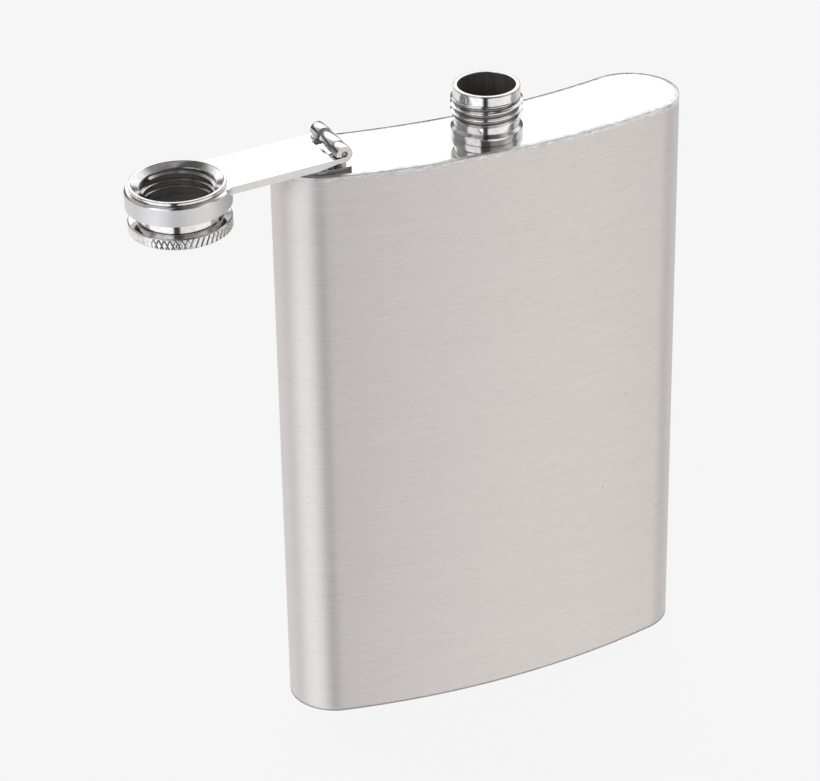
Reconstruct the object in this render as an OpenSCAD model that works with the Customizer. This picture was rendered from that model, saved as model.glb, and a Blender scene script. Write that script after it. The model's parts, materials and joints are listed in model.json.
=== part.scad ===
// Pocket hip flask: a curved welded steel body, a threaded neck, and a screw cap
// kept on the flask by a hinged arm.
// Z points up from the base and X runs along the width. The convex face looks
// towards -Y, and the neck's axis is the Z axis. The cap stands open beside the neck.

/* [Body] */
// Width of the body across its two round ends
body_width = 95; // [84:1:120]
// Height of the body from the base to the top plate
body_height = 134; // [90:1:180]
// Distance between the front and the back sheet
body_thickness = 21.2; // [20:0.1:26]
// Radius of the hip curve, measured to the middle of the body
hip_radius = 163; // [130:1:260]
// Sheet thickness of the side wall
wall = 0.5; // [0.4:0.05:0.8]
// Sheet thickness of the top and the bottom plate
plate = 0.8; // [0.6:0.1:1.0]

/* [Welds] */
// Width of the ground weld beside each plate
weld_width = 0.85; // [0.8:0.05:1.2]
// Height of the weld band at the top edge
top_weld_height = 1.1; // [1.0:0.1:1.6]
// Height of the weld band at the bottom edge
bottom_weld_height = 1.0; // [1.0:0.1:1.6]
// Bevel ground on the top edge
top_edge_bevel = 0.35; // [0.1:0.05:0.5]
// Bevel ground on the bottom edge
bottom_edge_bevel = 0.2; // [0.1:0.05:0.4]
// Width of the side seam's bead inside the body
seam_bead_width = 2.4; // [1.5:0.1:4]
// Height that the side seam's bead stands from the inner wall
seam_bead_rise = 0.25; // [0.1:0.05:0.5]

/* [Neck] */
// Inner radius of the neck
neck_bore_radius = 6.2; // [5.5:0.1:6.4]
// Radius of the neck above and below the thread
neck_radius = 7.2; // [7.1:0.05:7.25]
// Radius at the crest of the neck's thread and of the collar at its foot
neck_crest_radius = 7.77; // [7.5:0.01:7.8]
// Radius at the root of the neck's thread
neck_root_radius = 7.0; // [6.8:0.05:7.05]
// Height of the neck above the top plate
neck_height = 11.05; // [11:0.05:11.1]
// Height of the plain collar at the neck's foot
neck_collar_height = 1.65; // [1:0.05:2]
// Pitch of the thread
thread_pitch = 1.5; // [1.4:0.05:1.6]
// Height of the lowest thread crest above the top plate
first_crest_height = 4.75; // [4.6:0.05:4.9]
// Crests on the neck
thread_crests = 3; // [2:1:3]
// Bevel of the neck's lip
lip_bevel = 0.3; // [0.1:0.05:0.4]
// Length of the neck below the top plate
spigot_length = 0.6; // [0.4:0.1:1]
// Width of the weld ring round the spigot
spigot_weld_width = 1.1; // [0.6:0.1:1.6]

/* [Hinge] */
// Distance of the hinge pin from the neck's axis
pin_reach = 35.2; // [34.5:0.1:36]
// Height of the pin's axis above the top plate
pin_height = 4.1; // [3.9:0.05:4.3]
// Offset of the hinge behind the neck's axis
hinge_offset = 1.8; // [0:0.1:2.5]
// Radius of the hinge pin
pin_radius = 0.7; // [0.5:0.05:0.8]
// Radial clearance of the pin in the fixed knuckle
pin_clearance = 0.05; // [0.02:0.01:0.08]
// Outer radius of the knuckles
knuckle_radius = 1.8; // [1.75:0.05:1.9]
// Overall length of the knuckles along the pin
hinge_length = 14.2; // [13:0.1:15]
// Length of the near knuckle of the arm
near_knuckle = 3.3; // [2.8:0.1:3.6]
// Length of the far knuckle of the arm
far_knuckle = 3.6; // [3:0.1:3.8]
// Length of the fixed knuckle between them
fixed_knuckle = 5.8; // [5:0.1:6]
// Angle that the fixed knuckle wraps past the top of the pin
fixed_wrap = 110; // [95:5:120]
// Sheet thickness of the fixed leaf
leaf_gauge = 0.9; // [0.7:0.05:1.0]
// Length of the leaf outboard of the pin
leaf_reach = 8.1; // [6:0.1:8.4]
// Width of the leaf along the pin
leaf_width = 13; // [10:0.1:13.2]
// Corner cut of the leaf
leaf_corner = 2.6; // [2:0.1:3]
// Radius of the spot welds that hold the leaf
spot_radius = 0.45; // [0.3:0.05:0.6]
// Depth of the dimple over each spot weld
spot_dimple = 0.15; // [0.05:0.05:0.3]
// Distance of the inner pair of spot welds from the pin's axis
inner_spot_reach = 0.9; // [0.6:0.1:1.2]
// Distance of the outer pair of spot welds from the pin's axis
outer_spot_reach = 5.2; // [4:0.1:5.6]
// Distance between the two spot welds of a pair
spot_spacing = 4.8; // [3:0.1:6]

/* [Arm] */
// Width of the arm across its side lips
arm_width = 14.2; // [13:0.1:15]
// Full depth of the arm at its side lips
lip_depth = 1.7; // [1.3:0.05:1.9]
// Thickness of a side lip
lip_gauge = 1.0; // [0.7:0.05:1.2]
// Length over which the lips run out beside the hinge
lip_runout = 4; // [3:0.5:6]
// Reach of the window beyond the pin's axis
window_reach = 3; // [2.6:0.1:3.6]
// Angle that the open arm droops below level
arm_droop = 1.5; // [0:0.1:3]
// Outer radius of the collar round the cap
collar_radius = 11.14; // [11:0.02:11.4]
// Depth of the collar
collar_depth = 4.2; // [3.5:0.1:5]
// Bevel round the collar's visible face
collar_bevel = 0.45; // [0.2:0.05:0.6]
// Fillet between the arm's edges and the collar
collar_fillet = 3; // [1:0.5:5]

/* [Cap] */
// Radius of the cap's smooth skirt
skirt_radius = 9.11; // [9.05:0.01:9.15]
// Clearance of the skirt in the collar
skirt_clearance = 0.09; // [0.05:0.01:0.1]
// Radius of the flange rolled out at the cap's mouth
flange_radius = 10.26; // [9.9:0.02:10.4]
// Thickness of the rolled flange
flange_height = 0.8; // [0.6:0.05:0.85]
// Radius of the knurled head
head_radius = 10.91; // [10.4:0.01:11.1]
// Distance from the mouth to the underside of the head
head_start = 7.99; // [7.5:0.01:8.2]
// Thickness of the knurled head
head_height = 2.56; // [2.4:0.02:3]
// Bevel on the head's edges
head_bevel = 0.3; // [0.1:0.05:0.5]
// Distance from the mouth to the liner
seal_start = 7.1; // [7.1:0.01:7.2]
// Thickness of the liner
seal_height = 1.4; // [1.2:0.1:1.6]
// Outer radius of the threaded insert
insert_radius = 8.5; // [8.4:0.05:8.6]
// Radius at the crest of the cap's inner thread
cap_crest_radius = 7.4; // [7.35:0.01:7.5]
// Radius at the root of the cap's inner thread
cap_root_radius = 7.95; // [7.9:0.01:8.1]
// Bevel of the cap's mouth
mouth_bevel = 0.4; // [0.2:0.05:0.5]

/* [Hidden] */
$fn = 180;
eps = 0.01;
// How far smooth blends bite into each other, so that they cross cleanly.
bite = 0.005;

// Section of the body: two arcs about one centre, closed by round ends.
half_thickness = body_thickness / 2;
end_reach = body_width / 2 - half_thickness;
hip_angle = asin(end_reach / hip_radius);
end_shift = hip_radius * (1 - cos(hip_angle));

// Profile of the thread: a narrow crest between two flanks at 30 degrees.
crest_half_width = 0.1;
flank = tan(30);
neck_thread_half = crest_half_width + (neck_crest_radius - neck_root_radius) * flank;
cap_thread_half = crest_half_width + (cap_root_radius - cap_crest_radius) * flank;

// Places along the pin, from the near end to the far end.
near_end = hinge_offset - hinge_length / 2;
near_split = near_end + near_knuckle;
far_end = near_end + hinge_length;
far_split = far_end - far_knuckle;
split_gap = 0.1;

// The arm is drawn level, with the pin's axis at the origin and the cap at -X.
arm_top = -pin_radius;
arm_bottom = bite - knuckle_radius;
arm_skew = atan(hinge_offset / pin_reach);
arm_gauge = arm_top - arm_bottom;
collar_hole = skirt_radius + skirt_clearance;
flange_gap = 0.03;
mouth_height = arm_top + flange_gap + flange_height;
fixed_bore = pin_radius + pin_clearance;

// The cap is drawn with its mouth at the origin and its head towards +Z.
closed_mouth = pin_height - mouth_height;
first_cap_crest = first_crest_height + thread_pitch / 2 - closed_mouth;
insert_start = mouth_bevel;
insert_step = insert_radius - cap_root_radius;

steel = "silver";
brushed = "lightgray";
weld_grey = "darkgray";

// ---- Helpers ----

// The body's outline, moved in from the outer face by inset.
module hip_outline(inset) {
    half = half_thickness - inset;
    far = 2 * hip_radius;
    difference() {
        intersection() {
            translate([0, hip_radius]) circle(r = hip_radius + half, $fn = 720);
            polygon([
                [0, hip_radius],
                [-far * sin(hip_angle), hip_radius - far * cos(hip_angle)],
                [far * sin(hip_angle), hip_radius - far * cos(hip_angle)],
            ]);
        }
        translate([0, hip_radius]) circle(r = hip_radius - half, $fn = 720);
    }
    for (side = [-1, 1]) translate([side * end_reach, end_shift]) circle(r = half + bite);
}

// Sweeps a profile once round the body's outline. The profile's X is the distance
// outward from the outer face, and its Y is the height.
module round_the_edge() {
    sweep = 2 * hip_angle;
    translate([0, hip_radius, 0]) rotate([0, 0, -90 - hip_angle]) {
        rotate_extrude(angle = sweep, $fn = 720) translate([hip_radius + half_thickness, 0])
            children();
        rotate_extrude(angle = sweep, $fn = 720) translate([hip_radius - half_thickness, 0])
            mirror([1, 0]) children();
    }
    for (side = [0, 1]) mirror([side, 0, 0])
        translate([end_reach, end_shift, 0]) rotate([0, 0, hip_angle - 90])
            rotate_extrude(angle = 180) translate([half_thickness, 0]) children();
}

// A ring with a bore through it.
module ring(outer, inner, height) {
    difference() {
        cylinder(r = outer, h = height);
        translate([0, 0, -eps]) cylinder(r = inner, h = height + 2 * eps);
    }
}

// Lies along the pin from one place to another.
module along_pin(from, to) {
    translate([0, to, 0]) rotate([90, 0, 0]) linear_extrude(to - from) children();
}

// Puts the pin's axis in its place above the top plate.
module at_pin() {
    translate([-pin_reach, 0, body_height + pin_height]) children();
}

// Turns the level arm to the open position that it rests in.
module open_arm() {
    at_pin() rotate([0, -arm_droop, 0]) children();
}

// Carries the cap in the open arm, mouth up.
module open_cap() {
    open_arm() translate([-pin_reach, 0, mouth_height]) rotate([180, 0, 0]) children();
}

// A wall that follows the body's outline between two insets.
module hip_wall(outer_inset, inner_inset, height) {
    linear_extrude(height) difference() {
        hip_outline(outer_inset);
        hip_outline(inner_inset);
    }
}

// Outline points of the thread's crests, from the lowest one up.
function crest_points(first, root, crest, half) = [
    for (turn = [0 : thread_crests - 1]) let (middle = first + turn * thread_pitch) each [
        [root, middle - half],
        [crest, middle - crest_half_width],
        [crest, middle + crest_half_width],
        [root, middle + half],
    ]
];

// ---- Body ----

module body_shell() {
    color(brushed) translate([0, 0, bottom_weld_height])
        hip_wall(0, wall, body_height - top_weld_height - bottom_weld_height);
}

module side_seam() {
    seam_height = body_height - top_weld_height - bottom_weld_height;
    inner = half_thickness - wall;
    color(weld_grey) translate([end_reach, end_shift, bottom_weld_height]) intersection() {
        ring(inner, inner - seam_bead_rise, seam_height);
        translate([0, -seam_bead_width / 2, 0])
            cube([body_thickness, seam_bead_width, seam_height]);
    }
}

module top_plate() {
    color(steel) translate([0, 0, body_height - plate]) difference() {
        linear_extrude(plate) hip_outline(weld_width + bite);
        translate([0, 0, -eps]) cylinder(r = neck_root_radius, h = plate + 2 * eps);
    }
}

module bottom_plate() {
    color(steel) linear_extrude(plate) hip_outline(weld_width + bite);
}

// The weld joins the wall to the plate, flush with both, and its edge is bevelled.
module weld_band(height, bevel) {
    round_the_edge() polygon([
        [-weld_width, 0], [0, 0], [0, height - bevel], [-bevel, height], [-weld_width, height],
    ]);
}

module top_weld() {
    color(weld_grey) translate([0, 0, body_height - top_weld_height])
        weld_band(top_weld_height, top_edge_bevel);
}

module bottom_weld() {
    color(weld_grey) translate([0, 0, bottom_weld_height]) mirror([0, 0, 1])
        weld_band(bottom_weld_height, bottom_edge_bevel);
}

// ---- Neck ----

module neck_section() {
    thread_top = first_crest_height + (thread_crests - 1) * thread_pitch + neck_thread_half;
    polygon(concat([
        [neck_bore_radius, -plate - spigot_length],
        [neck_root_radius, -plate - spigot_length],
        [neck_root_radius, 0],
        [neck_crest_radius, 0],
        [neck_crest_radius, neck_collar_height],
        [neck_root_radius, neck_collar_height + neck_crest_radius - neck_root_radius],
    ], crest_points(first_crest_height, neck_root_radius, neck_crest_radius, neck_thread_half), [
        [neck_radius, thread_top],
        [neck_radius, neck_height - lip_bevel],
        [neck_radius - lip_bevel, neck_height],
        [neck_bore_radius + lip_bevel, neck_height],
        [neck_bore_radius, neck_height - lip_bevel],
    ]));
}

module neck() {
    color(steel) translate([0, 0, body_height]) rotate_extrude() neck_section();
}

module neck_weld() {
    color(weld_grey) translate([0, 0, body_height - plate - spigot_length])
        rotate_extrude() polygon([
            [neck_root_radius, 0],
            [neck_root_radius, spigot_length],
            [neck_root_radius + spigot_weld_width, spigot_length],
        ]);
}

// ---- Hinge ----

// Centres of the spot welds, measured from the pin along X and from the hinge's middle.
function spot_places() = [
    for (reach = [inner_spot_reach, outer_spot_reach])
        for (side = [-1, 1]) [-reach, side * spot_spacing / 2]
];

module leaf_flat() {
    half = leaf_width / 2;
    polygon([
        [knuckle_radius, -half],
        [-leaf_reach + leaf_corner, -half],
        [-leaf_reach, -half + leaf_corner],
        [-leaf_reach, half - leaf_corner],
        [-leaf_reach + leaf_corner, half],
        [knuckle_radius, half],
    ]);
}

module at_spots(height) {
    for (place = spot_places()) translate([-pin_reach + place[0], hinge_offset + place[1], height])
        children();
}

// The sheet rises from the leaf beside the pin and curls over it.
module fixed_knuckle_section() {
    difference() {
        union() {
            intersection() {
                circle(r = knuckle_radius, $fn = 96);
                union() {
                    translate([-knuckle_radius, 0]) square([2 * knuckle_radius, knuckle_radius]);
                    polygon([
                        [0, 0],
                        [0, knuckle_radius],
                        [-2 * knuckle_radius, knuckle_radius],
                        [-2 * knuckle_radius * sin(fixed_wrap), 2 * knuckle_radius * cos(fixed_wrap)],
                    ]);
                }
            }
            translate([fixed_bore, -pin_height])
                square([knuckle_radius - fixed_bore, pin_height]);
        }
        circle(r = fixed_bore, $fn = 96);
    }
}

module hinge_leaf() {
    color(steel) difference() {
        union() {
            translate([-pin_reach, hinge_offset, body_height]) linear_extrude(leaf_gauge)
                leaf_flat();
            at_pin() along_pin(near_split + split_gap, near_split + split_gap + fixed_knuckle)
                fixed_knuckle_section();
        }
        at_spots(body_height - eps) cylinder(r = spot_radius, h = leaf_gauge + 2 * eps);
    }
}

module leaf_spot_welds() {
    color(weld_grey) at_spots(body_height) cylinder(r = spot_radius, h = leaf_gauge - spot_dimple);
}

module hinge_pin() {
    color(steel) open_arm() along_pin(near_end, far_end) circle(r = pin_radius, $fn = 96);
}

// ---- Arm ----

// Plan of the arm and its fillets, drawn from the collar's centre towards the hinge.
module arm_plan() {
    half = arm_width / 2;
    fillet_height = half + collar_fillet - bite;
    fillet_reach = sqrt(pow(collar_radius + collar_fillet - bite, 2) - pow(fillet_height, 2));
    translate([0, -half]) square([pin_reach, arm_width]);
    for (side = [0, 1]) mirror([0, side]) difference() {
        polygon([[0, 0], [fillet_reach, 0], [fillet_reach, fillet_height]]);
        translate([fillet_reach, fillet_height]) circle(r = collar_fillet, $fn = 96);
    }
}

// The two strips along the arm's edges that carry the lips.
module lip_plan() {
    for (side = [0, 1]) mirror([0, side])
        translate([0, arm_width / 2 - lip_gauge]) square([pin_reach, lip_gauge]);
}

// The curled sheet round the pin, and the end of the curl that faces the cap.
module arm_knuckle_section() {
    curl_end = -1.2 * knuckle_radius;
    curl_low = -0.25 * knuckle_radius;
    curl_high = 0.4 * knuckle_radius;
    curl_join = 0.97 * knuckle_radius;
    curl_rise = 40;
    slit_end = 0.6 * pin_radius;
    difference() {
        union() {
            circle(r = knuckle_radius, $fn = 96);
            polygon([
                [0, curl_low],
                [curl_end, curl_low],
                [curl_end, curl_high],
                [-curl_join * sin(curl_rise), curl_join * cos(curl_rise)],
                [0, curl_join * cos(curl_rise)],
            ]);
        }
        // The slit between the end of the curl and the arm's face.
        translate([-2 * knuckle_radius, arm_top])
            square([2 * knuckle_radius - slit_end, curl_low - arm_top]);
    }
}

// The strap, cut on a slant where it runs into the knuckles.
module arm_strap() {
    foot_end = -0.1 * knuckle_radius;
    face_end = -0.6 * knuckle_radius;
    intersection() {
        translate([-pin_reach, 0, 0]) rotate([0, 0, arm_skew]) {
            translate([0, 0, arm_bottom]) linear_extrude(arm_gauge) arm_plan();
            translate([0, 0, arm_top - lip_depth]) linear_extrude(lip_depth) lip_plan();
        }
        along_pin(near_end - arm_width, far_end + arm_width) polygon([
            [-2 * pin_reach, arm_top],
            [-2 * pin_reach, arm_top - lip_depth],
            [-knuckle_radius - lip_runout, arm_top - lip_depth],
            [-knuckle_radius, arm_bottom],
            [foot_end, arm_bottom],
            [face_end, arm_top],
        ]);
    }
}

module collar_ring() {
    low = arm_top - collar_depth;
    translate([-pin_reach, 0, 0]) rotate_extrude() polygon([
        [0, arm_top],
        [collar_radius - collar_bevel, arm_top],
        [collar_radius, arm_top - collar_bevel],
        [collar_radius, low],
        [0, low],
    ]);
}

module cap_arm() {
    window_low = near_split;
    window_high = far_split;
    color(steel) open_arm() difference() {
        union() {
            difference() {
                union() {
                    arm_strap();
                    collar_ring();
                }
                translate([-window_reach, window_low, -2 * knuckle_radius])
                    cube([2 * window_reach, window_high - window_low, 2 * knuckle_radius]);
                translate([-pin_reach, 0, arm_top - collar_depth - eps])
                    cylinder(r = collar_radius - arm_gauge, h = collar_depth - arm_gauge + eps);
            }
            along_pin(near_end, near_split) arm_knuckle_section();
            along_pin(far_split, far_end) arm_knuckle_section();
        }
        translate([-pin_reach, 0, -collar_radius]) cylinder(r = collar_hole, h = 2 * collar_radius);
        along_pin(near_end - eps, far_end + eps) circle(r = pin_radius, $fn = 96);
    }
}

// ---- Cap ----

module cap_shell() {
    color(steel) open_cap() rotate_extrude() polygon([
        [0, head_start + head_height],
        [head_radius - head_bevel, head_start + head_height],
        [head_radius, head_start + head_height - head_bevel],
        [head_radius, head_start + head_bevel],
        [head_radius - head_bevel, head_start],
        [skirt_radius, head_start],
        [skirt_radius, flange_height],
        [flange_radius, flange_height],
        [flange_radius, 0],
        [insert_radius + mouth_bevel, 0],
        [insert_radius, mouth_bevel],
        [insert_radius, seal_start + seal_height],
        [0, seal_start + seal_height],
    ]);
}

module cap_insert() {
    color(steel) open_cap() rotate_extrude() polygon(concat(
        [[cap_root_radius, insert_start + insert_step]],
        crest_points(first_cap_crest, cap_root_radius, cap_crest_radius, cap_thread_half),
        [[cap_root_radius, seal_start], [insert_radius, seal_start], [insert_radius, insert_start]]
    ));
}

module cap_seal() {
    color("white") open_cap() translate([0, 0, seal_start])
        cylinder(r = insert_radius, h = seal_height);
}

body_shell();
side_seam();
top_plate();
bottom_plate();
top_weld();
bottom_weld();
neck();
neck_weld();
hinge_leaf();
leaf_spot_welds();
cap_arm();
hinge_pin();
cap_shell();
cap_insert();
cap_seal();
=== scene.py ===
import json
import math

import bmesh
import bpy
from mathutils import Matrix, Vector, noise


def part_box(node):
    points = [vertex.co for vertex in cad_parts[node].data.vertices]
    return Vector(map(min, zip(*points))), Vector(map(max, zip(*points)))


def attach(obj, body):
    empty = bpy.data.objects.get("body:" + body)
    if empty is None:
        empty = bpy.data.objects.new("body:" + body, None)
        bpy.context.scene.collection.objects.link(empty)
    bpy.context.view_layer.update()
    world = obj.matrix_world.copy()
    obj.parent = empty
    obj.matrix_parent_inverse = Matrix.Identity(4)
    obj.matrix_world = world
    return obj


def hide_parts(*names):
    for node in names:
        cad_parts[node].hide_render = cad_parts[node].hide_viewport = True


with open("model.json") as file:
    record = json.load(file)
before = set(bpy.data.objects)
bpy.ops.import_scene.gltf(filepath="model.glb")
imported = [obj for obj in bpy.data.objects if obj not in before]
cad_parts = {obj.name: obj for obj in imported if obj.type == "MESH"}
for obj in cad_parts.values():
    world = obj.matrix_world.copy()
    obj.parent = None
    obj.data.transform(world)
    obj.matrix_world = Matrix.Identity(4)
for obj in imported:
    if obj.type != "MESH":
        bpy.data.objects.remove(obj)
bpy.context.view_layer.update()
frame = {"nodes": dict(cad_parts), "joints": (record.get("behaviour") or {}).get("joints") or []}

# Shapes are drawn in millimetres and stored in metres.
MM = 0.001
TAU = 2 * math.pi


def size_of(node):
    """The low and high corners of a CAD piece's box."""
    low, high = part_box(node)
    return Vector(low) / MM, Vector(high) / MM


def joint_place(name):
    """The point and the direction of a joint's axis."""
    joint = next(j for j in frame["joints"] if j["name"] == name)
    return Vector(joint["pos_m"]) / MM, Vector(joint["axis"])


# ---- Sizes: some read from the imported model, the rest given ----

shell_low, shell_high = size_of("body_shell")
plate_low, plate_high = size_of("top_plate")
DECK = plate_high.z
PLATE = DECK - plate_low.z
HALF_THICK = -shell_low.y
END_REACH = shell_high.x - HALF_THICK
END_SHIFT = shell_high.y - HALF_THICK
HIP_RADIUS = (END_REACH ** 2 + END_SHIFT ** 2) / (2 * END_SHIFT)
HIP_ANGLE = math.asin(END_REACH / HIP_RADIUS)
WALL = 0.5
WELD_WIDTH = 1.05
WELD_WAVER = 0.16
TOP_WELD_DEPTH = 1.1
FOOT_WELD_DEPTH = 1.0
TOP_EDGE = 0.176
FOOT_EDGE = 0.22

PIN, _ = joint_place("arm_swing")
CAP_AXIS_POINT, CAP_AXIS = joint_place("cap_spin")
DROOP = math.asin(-CAP_AXIS.x)
REACH = (CAP_AXIS_POINT - PIN).length
KNUCKLE = 1.8
LEAF_GAUGE = 0.9
PIN_RADIUS = 0.7

NECK_BORE = 6.2
NECK_RADIUS = 7.2
NECK_ROOT = 7.0
NECK_CREST = 7.77
NECK_TOP = size_of("neck")[1].z - DECK
PITCH = 1.5
CREST_SHARE = 0.125
ROOT_SHARE = 0.375
FIRST_CREST = 4.75
THREAD_LOW, THREAD_HIGH = 3.9, 8.4

MOUTH = 0.13
FLANGE_RADIUS = 10.26
FLANGE = 0.8
SKIRT_RADIUS = 9.11
HEAD_RADIUS = 10.91
HEAD_START = 7.99
HEAD_TOP = 10.55
INSERT_RADIUS = 8.5
CAP_ROOT = 7.95
CAP_CREST = 7.4
SEAL_START = 7.1
SEAL = 1.4

# Places of the arm and of the cap, mouth up, in the open pose.
ON_PIN = Matrix.Translation(PIN) @ Matrix.Rotation(-DROOP, 4, "Y")
ON_CAP = ON_PIN @ Matrix.Translation((-REACH, 0, MOUTH)) @ Matrix.Rotation(math.pi, 4, "X")
ON_DECK = Matrix.Translation((0, 0, DECK))


# ---- Materials ----

# Sockets of the Mix node that carry colours.
MIX_FIRST, MIX_SECOND, MIX_RESULT = 6, 7, 2


def as_colour(shade):
    """A colour with its alpha, from a grey or from three parts."""
    return (*shade, 1) if isinstance(shade, tuple) else (shade, shade, shade, 1)


class Wire:
    """One output of a material's nodes, which can be added, subtracted and multiplied."""

    def __init__(self, finish, socket):
        self.finish = finish
        self.socket = socket

    def _math(self, operation, first, second):
        return self.finish.node("ShaderNodeMath", {"operation": operation}, {0: first, 1: second})

    def __add__(self, other):
        return self._math("ADD", self, other)

    __radd__ = __add__

    def __mul__(self, other):
        return self._math("MULTIPLY", self, other)

    __rmul__ = __mul__

    def __sub__(self, other):
        return self._math("SUBTRACT", self, other)

    def __rsub__(self, other):
        return self._math("SUBTRACT", other, self)


class Finish:
    """The nodes of one material, or of the studio around."""

    def __init__(self, name, owner=None):
        self.owner = owner or bpy.data.materials.new(name)
        self.owner.use_nodes = True
        self.tree = self.owner.node_tree

    def plug(self, value, socket):
        if isinstance(value, Wire):
            self.tree.links.new(value.socket, socket)
        else:
            socket.default_value = value

    def node(self, kind, settings=None, sockets=None, output=0):
        """Makes a node, sets it, fills its sockets, and gives one of its outputs."""
        made = self.tree.nodes.new(kind)
        for key, value in (settings or {}).items():
            if key == "stops":
                ramp = made.color_ramp
                while len(ramp.elements) > 1:
                    ramp.elements.remove(ramp.elements[-1])
                for number, (place, shade) in enumerate(value):
                    stop = ramp.elements[0] if number == 0 else ramp.elements.new(place)
                    stop.position = place
                    stop.color = as_colour(shade)
            else:
                setattr(made, key, value)
        for key, value in (sockets or {}).items():
            self.plug(value, made.inputs[key])
        return Wire(self, made.outputs[output])

    def place(self, stretch):
        """Object coordinates in metres, stretched along each axis."""
        where = self.node("ShaderNodeTexCoord", output="Object")
        return self.node("ShaderNodeVectorMath", {"operation": "MULTIPLY"}, {0: where, 1: stretch})

    def grain(self, stretch, detail=2.0, rough=0.5):
        """Noise from 0 to 1 whose size along each axis is one over stretch, in metres."""
        return self.node("ShaderNodeTexNoise", {"noise_dimensions": "3D"}, {
            "Vector": self.place(stretch), "Scale": 1.0, "Detail": detail, "Roughness": rough,
        })

    def blend(self, factor, first, second):
        """A colour from first, at a factor of 0, to second, at 1."""
        return self.node("ShaderNodeMix", {"data_type": "RGBA"}, {
            0: factor,
            MIX_FIRST: as_colour(first) if isinstance(first, tuple) else first,
            MIX_SECOND: as_colour(second) if isinstance(second, tuple) else second,
        }, MIX_RESULT)

    def ramp(self, value, stops):
        """A colour or a grey that follows the value through (place, shade) stops."""
        return self.node("ShaderNodeValToRGB", {"stops": stops}, {"Fac": value})

    def bump(self, height, depth):
        """A normal from a height of 0 to 1 that stands for this many metres."""
        return self.node(
            "ShaderNodeBump", None, {"Height": height, "Strength": 1.0, "Distance": depth})

    def finished(self, **sockets):
        """Fills the shader's sockets, named with _ for a space, and gives the material."""
        shader = self.tree.nodes["Principled BSDF"]
        for key, value in sockets.items():
            self.plug(value, shader.inputs[key.replace("_", " ")])
        return self.owner


def satin_sheet():
    """Stainless sheet with a fine brushing that runs round the body."""
    steel = Finish("satin_sheet")
    dashes = steel.grain((300, 300, 6000), 3.0, 0.6)
    lines = steel.grain((40, 40, 4200), 2.0, 0.55)
    specks = steel.grain((3000, 3000, 3000), 1.0, 0.5)
    cloud = steel.grain((38, 60, 21), 2.0, 0.5)
    tone = 0.45 * dashes + 0.20 * lines + 0.20 * specks + 0.15 * cloud
    brushed = steel.ramp(tone, [
        (0.36, (0.715, 0.676, 0.652)), (0.5, (0.788, 0.748, 0.722)), (0.64, (0.86, 0.82, 0.795)),
    ])
    pits = steel.node("ShaderNodeTexVoronoi", None, {
        "Vector": steel.place((120, 120, 120)), "Scale": 1.0}, "Distance")
    pitted = steel.ramp(pits, [(0.014, 1.0), (0.024, 0.0)])
    colour = steel.blend(pitted, brushed, (0.30, 0.28, 0.27))
    rough = 0.46 + 0.10 * dashes + 0.08 * cloud
    relief = steel.bump(0.5 * dashes + 0.3 * specks + 0.2 * lines, 0.000004)
    return steel.finished(
        Base_Color=colour, Metallic=1.0, Roughness=rough, Normal=relief,
        Anisotropic=0.5, Anisotropic_Rotation=0.25,
    )


def mirror_plate():
    """Buffed flat steel, with faint ripples and hair scratches."""
    steel = Finish("mirror_plate")
    ripple = steel.grain((140, 140, 140), 1.0, 0.4)
    hairs = steel.grain((2600, 190, 400), 1.0, 0.5)
    rough = 0.045 + 0.05 * hairs
    relief = steel.bump(0.85 * ripple + 0.15 * hairs, 0.000004)
    return steel.finished(
        Base_Color=(0.70, 0.69, 0.68, 1), Metallic=1.0, Roughness=rough, Normal=relief)


def ground_weld():
    """Weld metal ground flush: grey, coarse and uneven."""
    steel = Finish("ground_weld")
    coarse = steel.grain((520, 520, 2600), 3.0, 0.65)
    fine = steel.grain((3800, 3800, 3800), 2.0, 0.6)
    mottle = 0.6 * coarse + 0.4 * fine
    colour = steel.ramp(mottle, [(0.38, (0.60, 0.59, 0.58)), (0.62, (1.0, 0.99, 0.98))])
    rough = 0.30 + 0.2 * coarse
    return steel.finished(
        Base_Color=colour, Metallic=0.8, Roughness=rough, Normal=steel.bump(mottle, 0.000014))


def bright_turned():
    """Turned and polished steel, with the lathe's faint rings round the axis."""
    steel = Finish("bright_turned")
    rings = steel.grain((90, 90, 5200), 2.0, 0.5)
    wear = steel.grain((900, 900, 900), 2.0, 0.6)
    colour = steel.ramp(wear, [(0.3, (0.58, 0.562, 0.548)), (0.65, (0.70, 0.685, 0.67))])
    rough = 0.07 + 0.08 * rings
    return steel.finished(
        Base_Color=colour, Metallic=1.0, Roughness=rough, Normal=steel.bump(rings, 0.000002))


def pressed_arm():
    """The arm's upright faces: plated, with a soft shine and a slight orange peel."""
    steel = Finish("pressed_arm")
    peel = steel.grain((1500, 1500, 1500), 2.0, 0.5)
    drift = steel.grain((120, 120, 120), 1.0, 0.5)
    rough = 0.44 + 0.12 * peel + 0.06 * drift
    colour = steel.ramp(drift, [(0.3, (0.70, 0.69, 0.68)), (0.7, (0.78, 0.77, 0.76))])
    return steel.finished(
        Base_Color=colour, Metallic=1.0, Roughness=rough, Normal=steel.bump(peel, 0.000004))


def buffed_arm():
    """The arm's flat and rolled faces: plated and buffed."""
    steel = Finish("buffed_arm")
    ripple = steel.grain((160, 160, 160), 1.0, 0.4)
    peel = steel.grain((1700, 1700, 1700), 2.0, 0.5)
    rough = 0.10 + 0.08 * peel
    relief = steel.bump(0.7 * ripple + 0.3 * peel, 0.000005)
    return steel.finished(
        Base_Color=(0.80, 0.79, 0.78, 1), Metallic=1.0, Roughness=rough, Normal=relief)


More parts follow.
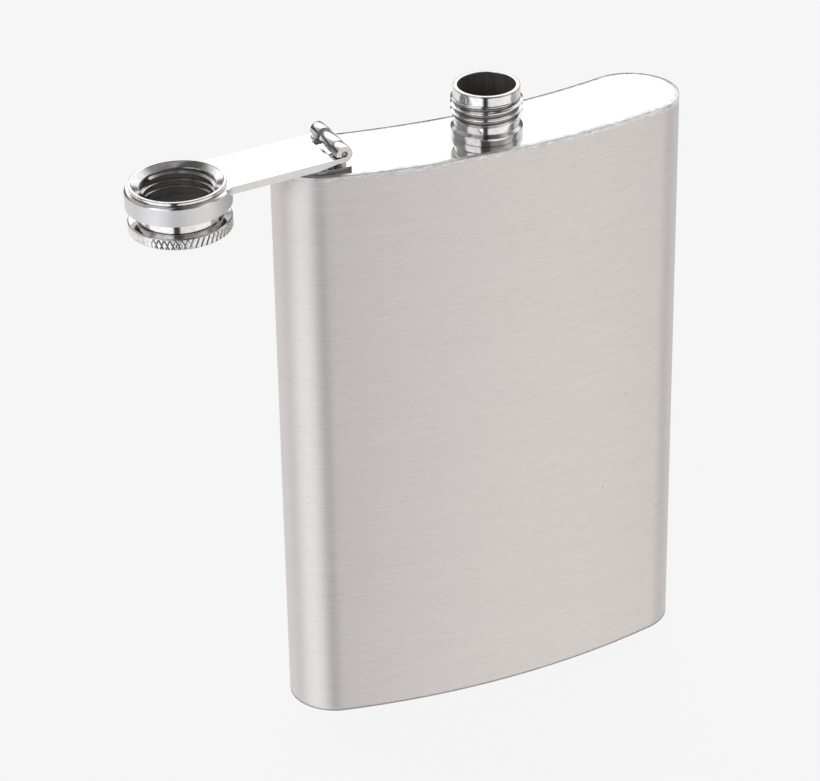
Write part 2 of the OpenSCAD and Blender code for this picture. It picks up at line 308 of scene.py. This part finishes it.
def leaf_edge_shade():
    """The edges of the leaf's flat part: painted shade, a dark mottled steel colour with a duller
    shine.
    """
    steel = Finish("leaf_edge_shade")
    tint = steel.grain((420, 420, 900), 3.0, 0.6)
    colour = steel.ramp(tint, [(0.3, (0.22, 0.20, 0.185)), (0.7, (0.46, 0.44, 0.42))])
    rough = 0.22 + 0.2 * tint
    return steel.finished(
        Base_Color=colour, Metallic=1.0, Roughness=rough, Normal=steel.bump(tint, 0.000008))


def knurled_head():
    """Plated steel of the head, with a little wear."""
    steel = Finish("knurled_head")
    wear = steel.grain((1200, 1200, 1200), 2.0, 0.6)
    colour = steel.ramp(wear, [(0.3, (0.62, 0.61, 0.60)), (0.7, (0.72, 0.715, 0.705))])
    rough = 0.16 + 0.14 * wear
    return steel.finished(
        Base_Color=colour, Metallic=1.0, Roughness=rough, Normal=steel.bump(wear, 0.000003))


def dark_steel(name="dark_steel", shade=1.0):
    """Darker, plain steel for the pin and the weld spots; scaled down by shade, it is also the
    painted shade in the bottoms of the knurl's grooves and of the neck's thread.
    """
    steel = Finish(name)
    marks = steel.grain((2500, 2500, 2500), 3.0, 0.6)
    low, high = 0.22 * shade, 0.42 * shade
    colour = steel.ramp(marks, [
        (0.3, (low, 0.97 * low, 0.94 * low)), (0.7, (high, 0.98 * high, 0.96 * high)),
    ])
    rough = 0.3 + 0.2 * marks
    return steel.finished(
        Base_Color=colour, Metallic=1.0, Roughness=rough, Normal=steel.bump(marks, 0.000008))


def tapped_steel():
    """Cut thread inside the cap: plain steel, a little oily."""
    steel = Finish("tapped_steel")
    marks = steel.grain((900, 900, 900), 3.0, 0.6)
    colour = steel.ramp(marks, [(0.3, (0.56, 0.515, 0.48)), (0.7, (0.76, 0.72, 0.685))])
    rough = 0.12 + 0.14 * marks
    return steel.finished(
        Base_Color=colour, Metallic=1.0, Roughness=rough, Normal=steel.bump(marks, 0.000006))


def bore_shade():
    """Inside of the neck's tube: painted shade, a dark steel colour, dull as a drawn tube."""
    steel = Finish("bore_shade")
    marks = steel.grain((1400, 1400, 120), 2.0, 0.6)
    colour = steel.ramp(marks, [(0.3, (0.12, 0.105, 0.10)), (0.7, (0.18, 0.16, 0.155))])
    rough = 0.42 + 0.12 * marks
    return steel.finished(Base_Color=colour, Metallic=0.25, Roughness=rough)


def silicone():
    """The liner: matt, dark grey silicone."""
    rubber = Finish("silicone")
    dust = rubber.grain((1800, 1800, 1800), 3.0, 0.6)
    colour = rubber.ramp(dust, [(0.3, (0.13, 0.12, 0.11)), (0.7, (0.20, 0.19, 0.18))])
    rough = 0.5 + 0.2 * dust
    return rubber.finished(Base_Color=colour, Roughness=rough, Normal=rubber.bump(dust, 0.00002))


SATIN = satin_sheet()
MIRROR = mirror_plate()
WELD = ground_weld()
TURNED = bright_turned()
PRESSED = pressed_arm()
BUFFED = buffed_arm()
LEAF_EDGE_SHADE = leaf_edge_shade()
# Painted shade: the bottoms of the knurl's grooves get this dark steel colour.
GROOVE_SHADE = dark_steel("groove_shade", 0.5)
KNURLED = knurled_head()
WIRE = dark_steel()
LINER = silicone()
TAPPED = tapped_steel()
# Painted shade: the neck's thread roots get a darker steel colour.
ROOT_SHADE = dark_steel("thread_root_shade", 0.9)
# Painted shade: the wall of the neck's bore is coloured dark.
BORE = bore_shade()


# ---- Mesh helpers ----

# Least angles in degrees that show as a crease: on sheet, on turned pieces and on the knurl.
CREASE = 32.0
TURNED_CREASE = 50
KNURL_CREASE = 40


def dress(piece, body, node):
    """Fixes a piece to its moving body, in place of its CAD node."""
    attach(piece, body)
    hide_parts(node)
    return piece


def paint(shape, finish_of):
    """Gives every face the number of its finish, from its centre and its normal."""
    shape.normal_update()
    for face in shape.faces:
        face.material_index = int(finish_of(face.calc_center_median(), face.normal))


def as_piece(name, shape, finishes, crease=CREASE):
    """Turns a bmesh in millimetres into an object, with creases at its sharp edges."""
    bmesh.ops.recalc_face_normals(shape, faces=shape.faces)
    for face in shape.faces:
        face.smooth = True
    for edge in shape.edges:
        edge.smooth = len(edge.link_faces) == 2 and edge.calc_face_angle() < math.radians(crease)
    shape.transform(Matrix.Scale(MM, 4))
    mesh = bpy.data.meshes.new(name)
    shape.to_mesh(mesh)
    shape.free()
    for finish in finishes:
        mesh.materials.append(finish)
    piece = bpy.data.objects.new(name, mesh)
    bpy.context.scene.collection.objects.link(piece)
    return piece


def rounded(corners, steps=3):
    """An outline from (x, y, radius) corners, each one rounded by its own radius."""
    points = []
    for number, (x, y, radius) in enumerate(corners):
        corner = Vector((x, y))
        if radius == 0:
            points.append(corner)
            continue
        before = Vector(corners[number - 1][:2]) - corner
        after = Vector(corners[(number + 1) % len(corners)][:2]) - corner
        half = before.angle(after) / 2
        reach = min(radius / math.tan(half), 0.48 * before.length, 0.48 * after.length)
        start = corner + before.normalized() * reach
        end = corner + after.normalized() * reach
        for step in range(steps + 1):
            t = step / steps
            points.append(start * (1 - t) ** 2 + corner * 2 * t * (1 - t) + end * t ** 2)
    return points


def around(radius, angle, height):
    """A point at a radius and an angle about the upright axis."""
    return Vector((radius * math.cos(angle), radius * math.sin(angle), height))


def join(shape, low, high, open_faces=0):
    """Joins two rings of equal length, and leaves out the last open_faces faces."""
    count = len(low)
    for i in range(count - open_faces):
        j = (i + 1) % count
        shape.faces.new((low[i], low[j], high[j], high[i]))


def skin(loops, wrap=True):
    """Joins closed loops of equal length. wrap also joins the last loop to the first."""
    shape = bmesh.new()
    rows = [[shape.verts.new(point) for point in loop] for loop in loops]
    for number in range(len(rows) - (0 if wrap else 1)):
        join(shape, rows[number], rows[(number + 1) % len(rows)])
    return shape, rows


def turned(profile, steps=128, relief=None):
    """Revolves a closed (radius, height) profile. Points on the axis close to a disc.

    relief(angle, radius, height) may change the radius from place to place.
    """
    loops = []
    for radius, height in profile:
        loop = []
        for step in range(steps):
            angle = TAU * step / steps
            loop.append(around(relief(angle, radius, height) if relief else radius, angle, height))
        loops.append(loop)
    shape, rows = skin(loops)
    for row in rows:
        if (row[0].co - row[steps // 2].co).length < 1e-6:
            bmesh.ops.pointmerge(shape, verts=row, merge_co=row[0].co)
    return shape


def tooth(phase):
    """Height of a thread's section, 0 to 1, with its crest half a pitch from the start."""
    away = abs(phase % 1.0 - 0.5)
    root_edge = 0.5 - ROOT_SHARE / 2
    return max(0.0, min(1.0, (root_edge - away) / (root_edge - CREST_SHARE / 2)))


def ease(value, low, high):
    """Rises smoothly from 0 at low to 1 at high."""
    t = max(0.0, min(1.0, (value - low) / (high - low)))
    return t * t * (3 - 2 * t)


def threaded(before, after, start, turns, radius_at, steps=144, per_pitch=16):
    """Revolves a profile with a true helix between its two parts.

    radius_at(height, phase) gives the radius, where phase counts turns of the helix.
    Each row of the helix starts where the row one pitch lower has ended.
    """
    shape = bmesh.new()

    def ring(radius, height):
        return [shape.verts.new(around(radius, TAU * i / steps, height)) for i in range(steps)]

    lower = [ring(*point) for point in before]
    upper = [ring(*point) for point in after]
    helix = []
    last_row = turns * per_pitch
    for row in range(last_row + 1):
        line = []
        for i in range(steps):
            height = start + PITCH * (row / per_pitch + i / steps)
            radius = radius_at(height, row / per_pitch)
            line.append(shape.verts.new(around(radius, TAU * i / steps, height)))
        helix.append(line)

    for part in (lower, upper):
        for low, high in zip(part, part[1:]):
            join(shape, low, high)
    join(shape, upper[-1], lower[0])
    join(shape, lower[-1], helix[0], 1)
    join(shape, helix[-1], upper[0], 1)
    for low, high in zip(helix, helix[1:]):
        join(shape, low, high, 1)
    end = steps - 1
    for row in range(last_row - per_pitch):
        shape.faces.new((
            helix[row][end], helix[row + per_pitch][0],
            helix[row + per_pitch + 1][0], helix[row + 1][end],
        ))
    shape.faces.new(
        [lower[-1][end], lower[-1][0]]
        + [helix[row][0] for row in range(per_pitch + 1)]
        + [helix[0][end]]
    )
    shape.faces.new(
        [helix[last_row - per_pitch][end], helix[last_row][0], upper[0][0], upper[0][end]]
        + [helix[row][end] for row in range(last_row, last_row - per_pitch, -1)]
    )
    return shape


def hip_point(turn, inset):
    """A point of the body's outline, set in from it. turn runs from 0 to 1 all the way round."""
    front = 2 * HIP_ANGLE * HIP_RADIUS
    end = math.pi * HALF_THICK
    total = 2 * front + 2 * end
    walk = (turn % 1.0) * total
    thick = HALF_THICK - inset
    if walk < front:
        angle = -HIP_ANGLE + 2 * HIP_ANGLE * walk / front
        radius = HIP_RADIUS + thick
        return Vector((radius * math.sin(angle), HIP_RADIUS - radius * math.cos(angle)))
    if walk < front + end:
        angle = HIP_ANGLE - math.pi / 2 + math.pi * (walk - front) / end
        return Vector((END_REACH + thick * math.cos(angle), END_SHIFT + thick * math.sin(angle)))
    if walk < 2 * front + end:
        angle = HIP_ANGLE - 2 * HIP_ANGLE * (walk - front - end) / front
        radius = HIP_RADIUS - thick
        return Vector((radius * math.sin(angle), HIP_RADIUS - radius * math.cos(angle)))
    angle = math.pi / 2 - HIP_ANGLE + math.pi * (walk - 2 * front - end) / end
    return Vector((-END_REACH + thick * math.cos(angle), END_SHIFT + thick * math.sin(angle)))


def hip_loop(inset, height, count=288, waver=0.0, seed=0.0):
    """The body's outline at one height. waver moves the loop in and out unevenly."""
    loop = []
    for step in range(count):
        turn = step / count
        point = hip_point(turn, inset)
        if waver:
            wander = noise.noise(Vector((point.x * 0.9, point.y * 0.9, seed)))
            point = hip_point(turn, inset + waver * wander)
        loop.append(Vector((point.x, point.y, height)))
    return loop


def round_out(shape, radius, cuts):
    """Cuts a barrel about the pin into finer steps that lie on its true radius.

    The blunt corners where the sheet's curl ends are rolled in to the barrel first.
    """
    def away(vert):
        return math.hypot(vert.co.x - PIN.x, vert.co.z - PIN.z)

    def bring(vert):
        grow = radius / away(vert)
        vert.co.x = PIN.x + (vert.co.x - PIN.x) * grow
        vert.co.z = PIN.z + (vert.co.z - PIN.z) * grow

    for vert in shape.verts:
        if 1.15 * radius < away(vert) < 1.3 * radius:
            bring(vert)

    edges = [
        edge for edge in shape.edges
        if all(abs(away(vert) - radius) < 0.006 for vert in edge.verts)
        and abs(edge.verts[0].co.y - edge.verts[1].co.y) < 0.002 and edge.calc_length() > 0.15
    ]
    before = set(shape.verts)
    bmesh.ops.subdivide_edges(shape, edges=edges, cuts=cuts, use_grid_fill=True)
    for vert in shape.verts:
        if vert not in before and 0.85 * radius < away(vert) < radius:
            bring(vert)


def from_cad(name, node, bevel, finishes, finish_of):
    """A copy of a CAD piece with its flat faces joined up and its edges broken."""
    shape = bmesh.new()
    shape.from_mesh(frame["nodes"][node].data)
    shape.transform(Matrix.Scale(1 / MM, 4))
    bmesh.ops.remove_doubles(shape, verts=shape.verts, dist=0.002)
    bmesh.ops.dissolve_limit(
        shape, angle_limit=math.radians(1.0), verts=shape.verts, edges=shape.edges)
    round_out(shape, KNUCKLE, 3)
    sharp = [
        edge for edge in shape.edges
        if len(edge.link_faces) == 2 and edge.calc_face_angle() > math.radians(CREASE)
    ]
    bmesh.ops.bevel(
        shape, geom=sharp, offset=bevel, offset_type="OFFSET", segments=2, profile=0.5,
        affect="EDGES", clamp_overlap=True)
    paint(shape, finish_of)
    piece = as_piece(name, shape, finishes)
    shading = piece.modifiers.new("shading", "WEIGHTED_NORMAL")
    shading.keep_sharp = True
    return piece


# ---- Body ----

def make_body_shell():
    """The side wall, a plain tube with the outline of the hip."""
    top, foot = shell_high.z, shell_low.z
    profile = [(0, foot), (0, top), (WALL, top), (WALL, foot)]
    shape, _ = skin([hip_loop(inset, height) for inset, height in profile])
    return dress(as_piece("side_wall", shape, [SATIN]), "flask", "body_shell")


def weld_bead(name, node, face, depth, bevel, up, finish):
    """The ground band at an edge of the body. up is 1 at the top and -1 at the foot."""
    inner = face - up * depth
    steps = 4
    corner = rounded([(0, 0, bevel), (WELD_WIDTH + 0.2, 0, 0), (0, depth, 0)], steps)[:steps + 1]
    profile = [(0.0, inner)]
    profile += [(point.x, face - up * point.y) for point in reversed(corner)]
    loops = [hip_loop(inset, height) for inset, height in profile]
    loops.append(hip_loop(WELD_WIDTH, face, waver=WELD_WAVER, seed=up * 3.0))
    loops.append(hip_loop(WELD_WIDTH + 0.02, face - up * 0.03, waver=WELD_WAVER, seed=up * 3.0))
    loops.append(hip_loop(WELD_WIDTH, inner))
    shape, _ = skin(loops)
    return dress(as_piece(name, shape, [finish], TURNED_CREASE), "flask", node)


def flat_plate(name, node, low, high, finish, hole=0.0):
    """A plate that fills the body's outline, with an optional round hole."""
    inset = WELD_WIDTH + 0.005
    outer = [hip_loop(inset, low), hip_loop(inset, high)]
    shape, rows = skin(outer, wrap=False)
    if hole:
        bearings = [math.atan2(vert.co.y, vert.co.x) for vert in rows[0]]
        inner = [
            [shape.verts.new(around(hole, bearing, height)) for bearing in bearings]
            for height in (low, high)
        ]
        for first, second in ((rows[0], inner[0]), (rows[1], inner[1]), (inner[0], inner[1])):
            join(shape, first, second)
    else:
        shape.faces.new(rows[0])
        shape.faces.new(rows[1])
    return dress(as_piece(name, shape, [finish]), "flask", node)


# ---- Neck ----

def make_neck():
    """The turned neck: spigot, collar, relief, thread and plain lip."""
    def radius_at(height, phase):
        base = NECK_ROOT + (NECK_RADIUS - NECK_ROOT) * ease(height, 8.1, 8.4)
        fade = ease(height, 3.75, 4.35) * ease(8.55, height - 0.35, height + 0.35)
        rise = tooth(phase)
        return base + (NECK_CREST - base) * rise * fade

    start = FIRST_CREST - 1.5 * PITCH
    turns = 4
    end = start + (turns + 1) * PITCH
    before = rounded([
        (NECK_BORE, -PLATE - 0.6, 0), (NECK_ROOT, -PLATE - 0.6, 0.1), (NECK_ROOT, 0, 0),
        (NECK_CREST, 0, 0.05), (NECK_CREST, 1.65, 0.18), (NECK_ROOT, 2.3, 0.25),
        (NECK_ROOT, start - 0.01, 0),
    ])
    after = rounded([
        (NECK_RADIUS, end + 0.01, 0), (NECK_RADIUS, NECK_TOP, 0.36), (NECK_BORE, NECK_TOP, 0.22),
        (NECK_BORE, 0, 0),
    ], 5)
    shape = threaded(before, after, start, turns, radius_at)

    def finish_of(centre, _):
        # The bore's wall gets the painted shade.
        if centre.xy.length < NECK_BORE + 0.02:
            return 1
        # Faces sunk at the thread's roots get the painted shade.
        sunk = centre.xy.length < NECK_ROOT + 0.12
        return 2 if sunk and THREAD_LOW < centre.z < THREAD_HIGH else 0

    paint(shape, finish_of)
    shape.transform(ON_DECK)
    piece = as_piece("threaded_neck", shape, [TURNED, BORE, ROOT_SHADE], TURNED_CREASE)
    return dress(piece, "flask", "neck")


# ---- Cap ----

def make_cap_shell():
    """The cap's skirt, with the flange rolled out at its mouth, and its knurled head."""
    knurl_low, knurl_high = HEAD_START + 0.25, HEAD_TOP - 0.25
    rows = 20
    diamonds = 56
    across = TAU * HEAD_RADIUS / diamonds
    groove_depth = 0.2

    def strike(angle, first, last, least):
        """How hard the knurl is struck: full between two bearings, faint elsewhere."""
        bearing = math.degrees(angle) % 360
        struck = ease(bearing, first, first + 14) * ease(-bearing, -last, 14 - last)
        return least + (1 - least) * struck

    def relief(angle, radius, height):
        if radius < HEAD_RADIUS - 0.01:
            return radius
        along = angle * diamonds / TAU
        climb = 0.45 * height / across
        main = 1 - abs((along - climb) % 1.0 - 0.5) * 2
        cross = 1 - abs((along + climb) % 1.0 - 0.5) * 2
        main_cut = max(0.0, 1 - 2.9 * main) * strike(angle, -20, 150, 0.3)
        cross_cut = max(0.0, 1 - 3.2 * cross) * strike(angle, 95, 150, 0.35)
        fade = ease(height, knurl_low - 0.05, knurl_low + 0.12)
        fade *= ease(-height, -knurl_high - 0.05, 0.12 - knurl_high)
        return radius - groove_depth * max(main_cut, cross_cut) * fade

    band = [
        (HEAD_RADIUS, knurl_high - (knurl_high - knurl_low) * row / rows, 0)
        for row in range(rows + 1)
    ]
    profile = rounded([
        (0, HEAD_TOP, 0), (HEAD_RADIUS - 0.3, HEAD_TOP, 0.1), *band,
        (HEAD_RADIUS - 0.25, HEAD_START, 0.08), (SKIRT_RADIUS, HEAD_START, 0.2),
        (SKIRT_RADIUS, FLANGE, 0.15), (FLANGE_RADIUS, FLANGE, 0.1), (FLANGE_RADIUS, 0, 0.22),
        (FLANGE_RADIUS - 0.6, 0, 0.2), (FLANGE_RADIUS - 0.75, 0.12, 0.05),
        (CAP_ROOT + 0.05, 0.85, 0.1), (CAP_ROOT + 0.05, 1.0, 0), (INSERT_RADIUS, 1.0, 0),
        (INSERT_RADIUS, 8.5, 0), (0, 8.5, 0),
    ])
    shape = turned(profile, diamonds * 12, relief)

    def finish_of(centre, _):
        # Faces sunk in the knurl's grooves get the painted shade.
        sunk = HEAD_RADIUS - 0.35 < centre.xy.length < HEAD_RADIUS - 0.08
        if sunk and knurl_low < centre.z < knurl_high:
            return 2
        return 1 if centre.z < HEAD_START else 0

    paint(shape, finish_of)
    shape.transform(ON_CAP)
    piece = as_piece("cap_head", shape, [KNURLED, TURNED, GROOVE_SHADE], KNURL_CREASE)
    return dress(piece, "cap", "cap_shell")


def make_cap_insert():
    """The threaded bush inside the cap."""
    def radius_at(height, phase):
        fade = ease(height, 1.2, 1.5) * ease(6.6, height - 0.3, height + 0.3)
        return CAP_ROOT - (CAP_ROOT - CAP_CREST) * tooth(phase) * fade

    start = 1.03
    turns = 3
    end = start + (turns + 1) * PITCH
    before = rounded([
        (INSERT_RADIUS, SEAL_START, 0), (INSERT_RADIUS, 1.0, 0), (CAP_ROOT, 1.0, 0),
    ])
    after = rounded([(CAP_ROOT, end + 0.01, 0), (CAP_ROOT, SEAL_START + 0.05, 0)])
    shape = threaded(before, after, start, turns, radius_at)
    # Turned so that its crests fall between the neck's crests when the cap is on.
    shape.transform(ON_CAP @ Matrix.Rotation(math.radians(-120), 4, "Z"))
    piece = as_piece("cap_thread", shape, [TAPPED], TURNED_CREASE)
    return dress(piece, "cap", "cap_insert")


def make_cap_seal():
    """The liner at the bottom of the cap."""
    shape = turned(rounded([
        (0, SEAL_START + 0.12, 0), (5.8, SEAL_START + 0.12, 0.3), (6.4, SEAL_START, 0.2),
        (INSERT_RADIUS, SEAL_START, 0), (INSERT_RADIUS, SEAL_START + SEAL, 0),
        (0, SEAL_START + SEAL, 0),
    ]), 96)
    shape.transform(ON_CAP)
    return dress(as_piece("liner_disc", shape, [LINER]), "cap", "cap_seal")


# ---- Hinge ----

def make_pin():
    """The pin, with its ends staked round."""
    low, high = size_of("hinge_pin")
    length = high.y - low.y
    shape = turned(rounded([
        (0, 0.25, 0), (0.35, 0.25, 0.1), (PIN_RADIUS - 0.06, 0.4, 0.12),
        (PIN_RADIUS - 0.05, length - 0.4, 0.12), (0.35, length - 0.25, 0.1), (0, length - 0.25, 0),
    ]), 48)
    along_pin = Matrix.Translation((0, low.y, 0)) @ Matrix.Rotation(-math.pi / 2, 4, "X")
    shape.transform(ON_PIN @ along_pin)
    return dress(as_piece("hinge_wire", shape, [WIRE]), "arm", "hinge_pin")


def make_leaf():
    """The fixed leaf, with painted shade round its flat part's edges."""
    def finish_of(centre, normal):
        # Side faces low on the leaf, round its flat part, get the painted shade.
        return centre.z < DECK + LEAF_GAUGE + 0.05 and abs(normal.z) < 0.5

    leaf = from_cad("leaf", "hinge_leaf", 0.08, [BUFFED, LEAF_EDGE_SHADE], finish_of)
    return dress(leaf, "flask", "hinge_leaf")


def make_arm():
    """The arm, buffed on its flat and rolled faces."""
    def finish_of(centre, normal):
        return abs(normal.z) < 0.3

    arm = from_cad("arm", "cap_arm", 0.09, [BUFFED, PRESSED], finish_of)
    return dress(arm, "arm", "cap_arm")


def colour_welds():
    """The welds keep the shape of the CAD, with finishes of their own."""
    for node, finish in (("side_seam", WELD), ("neck_weld", WELD), ("leaf_spot_welds", WIRE)):
        for slot in frame["nodes"][node].material_slots:
            slot.material = finish


def make_all():
    make_body_shell()
    weld_bead("top_band", "top_weld", DECK, TOP_WELD_DEPTH, TOP_EDGE, 1, WELD)
    weld_bead("foot_band", "bottom_weld", 0.0, FOOT_WELD_DEPTH, FOOT_EDGE, -1, SATIN)
    flat_plate("deck_plate", "top_plate", DECK - PLATE, DECK, MIRROR, NECK_ROOT)
    flat_plate("base_plate", "bottom_plate", 0.0, PLATE, SATIN)
    make_neck()
    make_cap_shell()
    make_cap_insert()
    make_cap_seal()
    make_pin()
    make_leaf()
    make_arm()
    colour_welds()


make_all()


# ---- Studio ----

def studio_camera():
    """A long lens, above the front of the flask and to its left."""
    distance = 0.72279
    aim = Vector((-18.951, 0, 75.326)) * MM
    azimuth, elevation, roll = math.radians(-24.085), math.radians(29.277), math.radians(-1.002)
    back = Vector((
        math.sin(azimuth) * math.cos(elevation), -math.cos(azimuth) * math.cos(elevation),
        math.sin(elevation),
    ))
    level = Vector((0, 0, 1)).cross(back).normalized()
    upright = back.cross(level)
    right = level * math.cos(roll) + upright * math.sin(roll)
    up = back.cross(right)
    lens = bpy.data.cameras.new("camera")
    lens.sensor_width = 36.0
    lens.lens = 144.41
    lens.clip_start, lens.clip_end = 0.01, 20.0
    camera = bpy.data.objects.new("camera", lens)
    turn = Matrix((right, up, back)).transposed()
    camera.matrix_world = Matrix.Translation(aim + back * distance) @ turn.to_4x4()
    bpy.context.scene.collection.objects.link(camera)
    bpy.context.scene.camera = camera


# The floor lies this far under the foot, in metres, so that the two don't share a plane.
FLOOR_GAP = 0.0002


def studio_floor():
    """A pale sheet of paper that glows evenly and takes a faint shadow."""
    paper = Finish("pale_floor").finished(
        Base_Color=(0.06, 0.06, 0.06, 1), Roughness=1.0, Specular_IOR_Level=0.0,
        Emission_Color=(0.882, 0.882, 0.882, 1), Emission_Strength=1.0,
    )
    bpy.ops.mesh.primitive_plane_add(size=12.0, location=(0, 0, -FLOOR_GAP))
    floor = bpy.context.object
    floor.name = "floor"
    floor.data.materials.append(paper)
    floor.visible_glossy = False


# Brightness of the studio all round, below and above level. Each entry is a bearing in
# degrees, from the flask's front towards its right-hand end, and a brightness.
LOW_PANELS = [
    (-180, 1.0), (-140, 1.2), (-124, 1.2), (-118, 0.50), (-110, 0.50), (-102, 1.56),
    (-40, 1.56), (-36, 0.06), (-23, 0.06), (-19, 1.1), (20, 1.24), (50, 1.34), (60, 1.34),
    (68, 0.55), (80, 0.55), (88, 1.0), (120, 0.95), (140, 0.9), (180, 1.0),
]
HIGH_PANELS = [
    (-180, 1.8), (-165, 1.6), (-150, 0.50), (-100, 0.40), (-92, 1.6), (-48, 1.6),
    (-42, 0.09), (-18, 0.12), (-8, 0.40), (26, 0.55), (40, 0.95), (60, 0.95), (70, 0.35),
    (82, 0.35), (92, 1.2), (120, 1.3), (150, 1.8), (180, 1.8),
]

# How much of that brightness is left at each height, from straight down (0) to straight up (1).
FADE = [
    (0.03, 0.6), (0.13, 0.9), (0.2, 1.0), (0.44, 1.0), (0.46, 0.12), (0.60, 0.14),
    (0.67, 1.0), (0.86, 1.0), (0.93, 0.28), (1.0, 0.22),
]

# Panels brighter than this are a little cooler.
BRIGHT_PANEL = 1.5

# What the eye sees past the floor's edge: the same pale grey as the floor.
BACKDROP = (0.917, 0.917, 0.917)


def studio_light():
    """Panels all round, which light the steel and aren't seen, and a plain pale backdrop."""
    scene = bpy.context.scene
    world = bpy.data.worlds.new("studio")
    scene.world = world
    sky = Finish("studio", world)
    where = sky.node("ShaderNodeTexCoord", output="Generated")
    x, y, z = (sky.node("ShaderNodeSeparateXYZ", None, {0: where}, axis) for axis in range(3))
    bearing = sky.node("ShaderNodeMath", {"operation": "ARCTAN2"}, {0: x, 1: 0 - y})
    turn = bearing * (1 / TAU) + 0.5

    def ring(panels):
        stops = []
        for angle, shade in panels:
            tint = (0.97, 0.985, 1.03) if shade > BRIGHT_PANEL else (1.0, 1.0, 1.0)
            stops.append(((angle + 180) / 360, tuple(shade / 2 * part for part in tint)))
        return sky.ramp(turn, stops)

    above = sky.ramp(z * 0.5 + 0.5, [(0.495, 0.0), (0.505, 1.0)])
    both = sky.blend(above, ring(LOW_PANELS), ring(HIGH_PANELS))
    # The panels are stored at half their brightness, so that a ramp's stops stay under 1.
    strength = 2.0 * sky.ramp(z * 0.5 + 0.5, FADE)
    light = sky.node("ShaderNodeVectorMath", {"operation": "SCALE"}, {0: both, "Scale": strength})
    seen = sky.node("ShaderNodeLightPath", output="Is Camera Ray")
    sky.plug(sky.blend(seen, light, BACKDROP), sky.tree.nodes["Background"].inputs["Color"])
    scene.view_settings.view_transform = "Standard"


studio_camera()
studio_floor()
studio_light()
